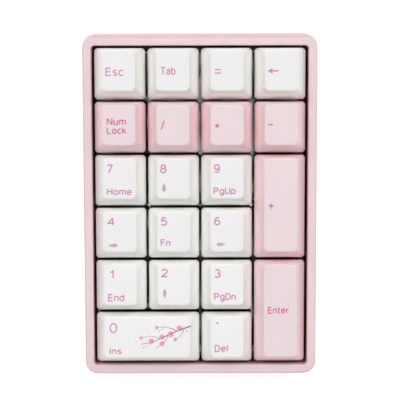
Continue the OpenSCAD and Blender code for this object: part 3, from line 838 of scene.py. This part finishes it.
def level_z(y, z):
    """Height in the row's frame of the plane z of the plate's frame, above the row's y."""
    return origin[2] + (y - origin[1]) * TAN + z / COS


bevel_start = (CASE_D / 2 - origin[1] + RIM_H * SIN) / COS - BEVEL_W
bevel_y, bevel_z = world(0, bevel_start, RIM_H)[1:]
BEVEL_FALL = math.tan(math.radians(BEVEL_DEG) - TILT)


def rim(x, y):
    """Height of the case's top, with the rear bevel blended into the rim."""
    flat, slope = level_z(y, RIM_H), bevel_z - (y - bevel_y) * BEVEL_FALL
    return (flat + slope) / 2 - math.hypot((flat - slope) / 2, 0.22)


def case_ring(s, inset, height):
    """A ring inside the case's outer outline; height is a function of x and y."""
    corners = (FRONT_R - inset, REAR_R - inset)
    return s.ring(outline(CASE_W - 2 * inset, CASE_D - 2 * inset, corners, s.counts), height)


def plate_ring(s, half, r, z):
    """A ring with round corners in the plane z of the plate's frame."""
    points = outline(2 * half[0], 2 * half[1], (r, r), s.counts)
    return s.ring3([world(x, y, z) for x, y in points])


def between(s, a, b, k, height):
    """A ring part of the way from ring a to ring b."""
    p = np.array([s.verts[i][:2] for i in a]) * (1 - k) + np.array([s.verts[i][:2] for i in b]) * k
    return s.ring(p, height)


def seam(lift):
    """Height of the seam, moved by lift, as a function of x and y."""
    return lambda x, y: level_z(y, SEAM + lift)


seam_up, seam_at, seam_down = seam(GROOVE), seam(0), seam(-GROOVE)


def top_case():
    s = Solid(CASE_COUNTS)
    outer_r, inner_r = 0.75, 0.45
    rings = [case_ring(s, 0, seam_up)]
    for k in (0.15, 0.5, 0.85):
        rings.append(case_ring(s, 0, lambda x, y: seam_up(x, y) * (1 - k) + (rim(x, y) - outer_r) * k))
    for inset, down in quarter(outer_r, 15, 7):
        rings.append(case_ring(s, inset, lambda x, y: rim(x, y) - down))
    lip = [plate_ring(s, OPENING / 2 + out, 1.2 + out, RIM_H - down)
           for down, out in quarter(inner_r, 18, 6)]
    for k in (0.08, 0.2, 0.32, 0.44, 0.56, 0.7, 0.85):
        rings.append(between(s, rings[10], lip[0], k, rim))
    rings += lip
    rings += [plate_ring(s, OPENING / 2, 1.2, z) for z in (6, 3, 0.12)]
    rings += [plate_ring(s, OPENING / 2 + 0.12, 1.3, 0), plate_ring(s, WALL_IN, 1.0, 0)]
    slot_half, slot_top = WALL_IN + TONGUE[1] + 0.1, SEAM + TONGUE[0] + 0.1
    rings += [plate_ring(s, WALL_IN, 1.0, slot_top), plate_ring(s, slot_half, 3, slot_top),
              plate_ring(s, slot_half, 3, SEAM), case_ring(s, GROOVE, seam_at)]
    s.bands(rings + rings[:1])
    return s


def bottom_case():
    s = Solid(CASE_COUNTS)
    base, r = FOOT_H, 1.1
    inner_base = base + SEAT_TOP
    rings = [plate_ring(s, WALL_IN + TONGUE[1], 2.9, SEAM), case_ring(s, GROOVE, seam_at),
             case_ring(s, 0, seam_down)]
    for k in (0.12, 0.5, 0.88):
        rings.append(case_ring(s, 0, lambda x, y: seam_down(x, y) * (1 - k) + (base + r) * k))
    for inset, up in quarter(r, 18, 6):
        rings.append(case_ring(s, inset, lambda x, y: base + up))
    s.bands(rings)
    s.patch(rings[-1])
    inner = [plate_ring(s, WALL_IN, 2, SEAM + TONGUE[0] - 0.15), plate_ring(s, WALL_IN, 2, SEAM)]
    tongue = [plate_ring(s, WALL_IN + TONGUE[1], 2.9, SEAM + TONGUE[0] - 0.15),
              plate_ring(s, WALL_IN + TONGUE[1] - 0.15, 2.75, SEAM + TONGUE[0]),
              plate_ring(s, WALL_IN + 0.15, 2.15, SEAM + TONGUE[0])]
    s.bands([rings[0], *tongue, *inner])
    depth, middle = BAY[1] - BAY[0], sum(BAY) / 2

    def bay(inset, z):
        w, r = 2 * (WALL_IN[0] - inset), 2 - inset
        return s.ring(outline(w, depth - 2 * inset, (r, r), s.counts, 0, middle), z)

    walls = [bay(0, lambda x, y: level_z(y, SEAM - 0.4)), bay(0, inner_base + 0.8),
             bay(0.24, inner_base + 0.24), bay(0.8, inner_base)]
    s.bands([inner[-1], *walls])
    s.patch(walls[-1])
    return s


def boss(s, x, y):
    """A post on the floor of the lower case, with a hole for a screw."""
    r, hole, top = 2.1, 1.0, plate_low[2] - plate_origin[2] - 0.05
    floor_z = (FOOT_H + SEAT_TOP - 0.3 - world(0, y, 0)[2]) / COS
    profile = [(hole, -8.5), (hole, top - 0.15), (hole + 0.15, top), (r - 0.12, top), (r, top - 0.12),
               (r, floor_z)]
    s.closed([s.ring3([world(a, b, z) for a, b in arc(x, y, radius, 0, 345, 23)]) for radius, z in profile])


def stadium(w, h, n=10):
    """Points around a shape with two straight sides and round ends."""
    return arc((w - h) / 2, 0, h / 2, -90, 90, n) + arc(-(w - h) / 2, 0, h / 2, 90, 270, n)


def socket_ring(s, w, h, y, n=12):
    """A ring with round ends around the socket's axis."""
    return s.ring3([world(a, y, SOCKET_Z + b) for a, b in stadium(w, h, n)])


def foot_ring(s, x, y, grow, z):
    """A level ring around a foot's outline, larger by grow all round."""
    points = stadium(FOOT_SIZE[0] + 2 * grow, FOOT_SIZE[1] + 2 * grow)
    return s.ring([(x + a, y + b) for a, b in points], z)


def cuts():
    """What is taken out of the lower case: the recesses for the feet and the cable port."""
    s = Solid()
    recess = [(FOOT_GAP + 0.15, FOOT_H - 1), (FOOT_GAP + 0.15, FOOT_H), (FOOT_GAP, FOOT_H + 0.15),
              (FOOT_GAP, FOOT_H + FOOT_RECESS)]
    for x, y in FOOT_AT:
        s.closed([foot_ring(s, x, y, grow, z) for grow, z in recess])
    # The port runs along the socket's axis, and its edge is chamfered where it meets the wall.
    wall = CASE_D / 2
    rings = [socket_ring(s, PORT_W - w, PORT_H - w, SOCKET_Y, 10) for w in (1, 0)]
    for grow, y in ((0, wall - 0.3), (0.3, wall), (1.3, wall + 1)):
        points = []
        for a, b in stadium(PORT_W + 2 * grow, PORT_H + 2 * grow):
            z = SOCKET_Z + b
            points.append(world(a, (y - origin[1] + z * SIN) / COS, z))
        rings.append(s.ring3(points))
    s.closed(rings)
    s.closed([socket_ring(s, SOCKET_W + 0.4, SOCKET_H + 0.4, y, 10)
              for y in (SOCKET_Y + 0.2, SOCKET_Y - SOCKET_LEN)])
    return s


def carve(obj, solid):
    """Cuts a Solid out of an object, and shades the result again."""
    cutter = bpy.data.objects.new("cut", solid_mesh("cut", solid))
    bpy.context.scene.collection.objects.link(cutter)
    modifier = obj.modifiers.new("cut", "BOOLEAN")
    modifier.operation, modifier.solver, modifier.use_self = "DIFFERENCE", "EXACT", True
    modifier.object = cutter
    bpy.context.view_layer.update()
    result = bpy.data.meshes.new_from_object(obj.evaluated_get(bpy.context.evaluated_depsgraph_get()))
    obj.modifiers.clear()
    obj.data = result
    bpy.data.objects.remove(cutter)
    result.shade_smooth()
    result.set_sharp_from_angle(angle=math.radians(30))


make_piece("case_top", top_case(), CASE, "base", replaces=["top_case"], crease=30)
lower = make_piece("case_bottom", bottom_case(), CASE, "base",
                   replaces=["bottom_case"], crease=30)
carve(lower, cuts())

SCREWS = [(-18.5, 0), (18.5, 0), (-19.05, -37.6), (19.7, -53.7)]
bosses = Solid()
for x, y in SCREWS:
    boss(bosses, x, y)
make_piece("case_bosses", bosses, CASE, "base", replaces=["bottom_case"])

# ------------------------ feet
FOOT_R = 0.5              # rounding of a foot's lower edge
feet = Solid()
for x, y in FOOT_AT:
    feet.closed([foot_ring(feet, x, y, -inset, z)
                 for inset, z in [(0, FOOT_H + FOOT_RECESS), (0, FOOT_R), *quarter(FOOT_R, 22.5, 5)[1:]]])
make_piece("feet", feet, RUBBER, "base", replaces=["rubber_feet"])


# ------------------------ screws
def screw_solid(x, y):
    """A dome-headed screw: head, and a shank with a thread."""
    s = Solid()
    head = [(1.7 * math.cos(a), 0.35 + 0.75 * math.sin(a)) for a in (math.radians(15 * k) for k in range(6))]
    profile = [(0.62, 0.35), (1.66, 0.0), (1.7, 0.06), *head, (0.12, 1.1)]
    rings = [s.ring3([world(x + r * math.cos(t), y + r * math.sin(t), z)
                      for t in (2 * math.pi * k / 32 for k in range(32))]) for r, z in profile]
    s.closed(rings)
    turns = []
    for k in range(17):
        z = -0.1 - 7.9 * k / 16
        r = 0.95 if k % 2 else 0.72
        turns.append(s.ring3([world(x + r * math.cos(t), y + r * math.sin(t), z - 0.25 * t / math.pi)
                              for t in (2 * math.pi * n / 16 for n in range(16))]))
    s.closed(turns)
    return s


def cross_cut(x, y):
    """The cross recess of a screw head, narrower at the bottom."""
    s = Solid()
    for long, thin in (((1, 0), (0, 1)), ((0, 1), (1, 0))):
        rings = []
        for half, t, z in ((0.7, 0.16, 0.5), (1.05, 0.25, 1.3)):
            corners = [(-half, -t), (half, -t), (half, t), (-half, t)]
            rings.append(s.ring3([world(x + a * long[0] + b * thin[0], y + a * long[1] + b * thin[1], z)
                                  for a, b in corners]))
        s.closed(rings)
    return s


for n, (x, y) in enumerate(SCREWS):
    screw = make_piece(f"screw_{n + 1}", screw_solid(x, y), SCREW_STEEL, "base",
                       replaces=["plate_screws"])
    carve(screw, cross_cut(x, y))


# ------------------------ springs and wires
def tube(s, points, r, sides=8):
    """A round wire along points."""
    p = np.array(points, float)
    step = np.gradient(p, axis=0)
    step /= np.linalg.norm(step, axis=1)[:, None]
    normal = np.cross(step[0], (0.3, 0.2, 1))
    rings = []
    for centre, along in zip(p, step):
        normal = normal - along * normal.dot(along)
        normal /= np.linalg.norm(normal)
        other = np.cross(along, normal)
        rings.append(s.ring3([centre + r * (normal * math.cos(a) + other * math.sin(a))
                              for a in (2 * math.pi * k / sides for k in range(sides))]))
    s.closed(rings)


SPRING_R, SPRING_WIRE = 2.05, 0.19
spring_low, spring_high = plate_box("switch_springs")
seat, head = spring_low[2] + SPRING_WIRE, spring_high[2] - SPRING_WIRE


def spring_solid():
    """A coil whose first and last turns lie flat."""
    s = Solid()
    turns, steps = 7, 18
    points = []
    for k in range(turns * steps + 1):
        t = k / steps
        rise = min(max((t - 1) / (turns - 2), 0), 1)
        rise = 0.93 * rise + 0.035 * (min(t, 1) + min(max(t - turns + 1, 0), 1))
        a = 2 * math.pi * t
        points.append((SPRING_R * math.cos(a), SPRING_R * math.sin(a), seat + (head - seat) * rise))
    tube(s, points, SPRING_WIRE, 6)
    return s


for key in KEYS:
    place = PLATE @ Matrix.Translation((key.x, key.y, 0))
    spring = make_piece("spring_" + key.name, spring_solid(), WIRE_STEEL, "base", place,
                        ["switch_springs"])
    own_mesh(spring)

ROD_P, ROD_Z, ROD_RISE, ROD_R = 8.0, -3.2, 4.1, 0.8
for key in KEYS:
    if key.extra.max() < 1:
        continue
    s = Solid()
    slope = math.atan2(ROD_RISE, ROD_P)
    arm, bend = math.hypot(ROD_P, ROD_RISE), 1.1
    half = [(STAB_Q, arm)] + [(STAB_Q, arm * k / 4) for k in (3, 2, 1) if arm * k / 4 > bend]
    half += [(STAB_Q - dq, dp) for dq, dp in reversed(quarter(bend, 15, 7))]
    half += [(STAB_Q * k / 4, 0) for k in (3, 2, 1)]
    line = half + [(0, 0)] + [(-q, p) for q, p in reversed(half)]
    turn = Matrix.Rotation(math.radians(90 if key.extra[1] > 1 else 0), 4, "Z")
    tube(s, [(q, -ROD_P + p * math.cos(slope), ROD_Z + p * math.sin(slope)) for q, p in line], ROD_R, 14)
    place = PLATE @ Matrix.Translation((key.x, key.y, 0)) @ turn
    make_piece("wire_rod_" + key.name, s, WIRE_STEEL, "wire_" + key.name, place,
               ["stabilizer_wire_" + key.name])


# ------------------------ cable socket
shell = Solid()
outer, inner = (SOCKET_W, SOCKET_H), (SOCKET_W - 2 * SOCKET_WALL, SOCKET_H - 2 * SOCKET_WALL)
rear, mouth, lip_r = SOCKET_Y - SOCKET_LEN, SOCKET_Y, 0.12
shell.bands([socket_ring(shell, *inner, rear), socket_ring(shell, *outer, rear),
             socket_ring(shell, *outer, mouth - lip_r),
             socket_ring(shell, outer[0] - 0.1, outer[1] - 0.1, mouth),
             socket_ring(shell, inner[0] + 0.3, inner[1] + 0.3, mouth),
             socket_ring(shell, *inner, mouth - 0.3), socket_ring(shell, *inner, rear)])
make_piece("socket_shell", shell, SHELL_STEEL, "base", replaces=["cable_socket"])


def bar(s, x, y, z, edge=0.06):
    """A bar with bevelled long edges; x, y and z are (low, high) in the plate's frame."""
    section = [(x[0] + edge, z[0]), (x[1] - edge, z[0]), (x[1], z[0] + edge), (x[1], z[1] - edge),
               (x[1] - edge, z[1]), (x[0] + edge, z[1]), (x[0], z[1] - edge), (x[0], z[0] + edge)]
    rings = [s.ring3([world(a, b, c) for a, c in section]) for b in y]
    s.closed(rings)


TONGUE_W, TONGUE_H, TONGUE_IN, BACK = 6.7, 0.7, 0.9, 1.5
insulator, pads = Solid(), Solid()
insulator.closed([socket_ring(insulator, inner[0] - 0.1, inner[1] - 0.1, rear + y) for y in (0, BACK)])
bar(insulator, (-TONGUE_W / 2, TONGUE_W / 2), (rear + 1, mouth - TONGUE_IN),
    (SOCKET_Z - TONGUE_H / 2, SOCKET_Z + TONGUE_H / 2), 0.12)
half = TONGUE_H / 2
for k in range(12):
    x = (k - 5.5) * 0.5
    for low, high in ((-half - 0.03, -half + 0.1), (half - 0.1, half + 0.03)):
        bar(pads, (x - 0.13, x + 0.13), (rear + BACK - 0.2, mouth - TONGUE_IN - 0.35),
            (SOCKET_Z + low, SOCKET_Z + high), 0.02)
make_piece("socket_insulator", insulator, CHIP, "base", replaces=["cable_socket"])
make_piece("socket_contacts", pads, GOLD, "base", replaces=["cable_socket"])


# ------------------------ housings, stems, plate and board
def softened(node, material, body, width):
    """A copy of a CAD node with its sharp edges rounded by width, in mm."""
    bm = bmesh.new()
    bm.from_mesh(frame["nodes"][node].data)
    bmesh.ops.remove_doubles(bm, verts=bm.verts, dist=0.0002 * MM)
    bmesh.ops.dissolve_limit(bm, angle_limit=math.radians(0.5), verts=bm.verts, edges=bm.edges)
    edges = [e for e in bm.edges if len(e.link_faces) == 2 and e.calc_face_angle(0) > math.radians(35)]
    bmesh.ops.bevel(bm, geom=edges, offset=width * MM, segments=2, profile=0.5, affect="EDGES",
                    clamp_overlap=True)
    mesh = bpy.data.meshes.new("soft_" + node)
    bm.to_mesh(mesh)
    bm.free()
    place_piece(mesh.name, mesh, material, body, [node], 40)


for node, material, slot, width in (
        ("switch_plate", PLATE_COAT, "plate", 0.12), ("circuit_board", BOARD, "board", 0.08),
        ("board_components", CHIP, "components", 0.08),
        ("switch_lower_housings", HOUSING, "housing_lower", 0.12),
        ("switch_upper_housings", HOUSING_TOP, "housing_upper", 0.2),
        ("stabilizer_housings", HOUSING, "housing_lower", 0.12)):
    softened(node, material, "base", width)
for key in KEYS:
    softened("stem_" + key.name, STEM, "key_" + key.name, 0.1)
    if key.extra.max() > 1:
        softened("stabilizer_sliders_" + key.name, SLIDER, "key_" + key.name, 0.1)


# ------------------------ floor, light and camera
CAMERA_ABOVE = 0.474
FOCAL_MM = 112.2
CAMERA_AT = (-0.00006, 0.00182)
CAMERA_ROLL = math.radians(-0.135)


def floor():
    bpy.ops.mesh.primitive_plane_add(size=12, location=(0, 0, -0.0001))
    plane = bpy.context.object
    plane.name = "floor"
    material, tree, shader, place = new_material("floor_paper")
    shader.inputs["Base Color"].default_value = (0.9, 0.9, 0.9, 1)
    shader.inputs["Roughness"].default_value = 0.9
    shader.inputs["Emission Color"].default_value = (1, 1, 1, 1)
    shader.inputs["Emission Strength"].default_value = 0.47
    plane.data.materials.append(material)


def soft_light(name, place, size, power, target=(0, 0, 0.02)):
    light = bpy.data.lights.new(name, "AREA")
    light.shape, light.size, light.energy = "SQUARE", size, power
    obj = bpy.data.objects.new(name, light)
    obj.location = place
    obj.rotation_euler = (Vector(target) - Vector(place)).to_track_quat("-Z", "Y").to_euler()
    bpy.context.scene.collection.objects.link(obj)


def lighting():
    world = bpy.data.worlds.new("studio")
    world.use_nodes = True
    world.node_tree.nodes["Background"].inputs["Color"].default_value = (1, 0.99, 0.985, 1)
    world.node_tree.nodes["Background"].inputs["Strength"].default_value = 0.12
    bpy.context.scene.world = world
    for name, turn, power in (("rear_left", 135, 6.5), ("rear_right", 45, 6.5),
                              ("front_left", 225, 3.2), ("front_right", 315, 3.5)):
        a = math.radians(turn)
        soft_light(name, (0.85 * math.cos(a), 0.85 * math.sin(a), 1.0), 0.8, power)
    soft_light("above", (0, -0.2, 1.3), 0.16, 0.26)
    bpy.context.scene.view_settings.view_transform = "Standard"


def camera():
    data = bpy.data.cameras.new("camera")
    data.lens, data.sensor_width = FOCAL_MM, 36
    data.clip_start = 0.01
    obj = bpy.data.objects.new("camera", data)
    obj.location = (*CAMERA_AT, CAMERA_ABOVE)
    obj.rotation_euler.z = CAMERA_ROLL
    bpy.context.scene.collection.objects.link(obj)
    bpy.context.scene.camera = obj


floor()
lighting()
camera()
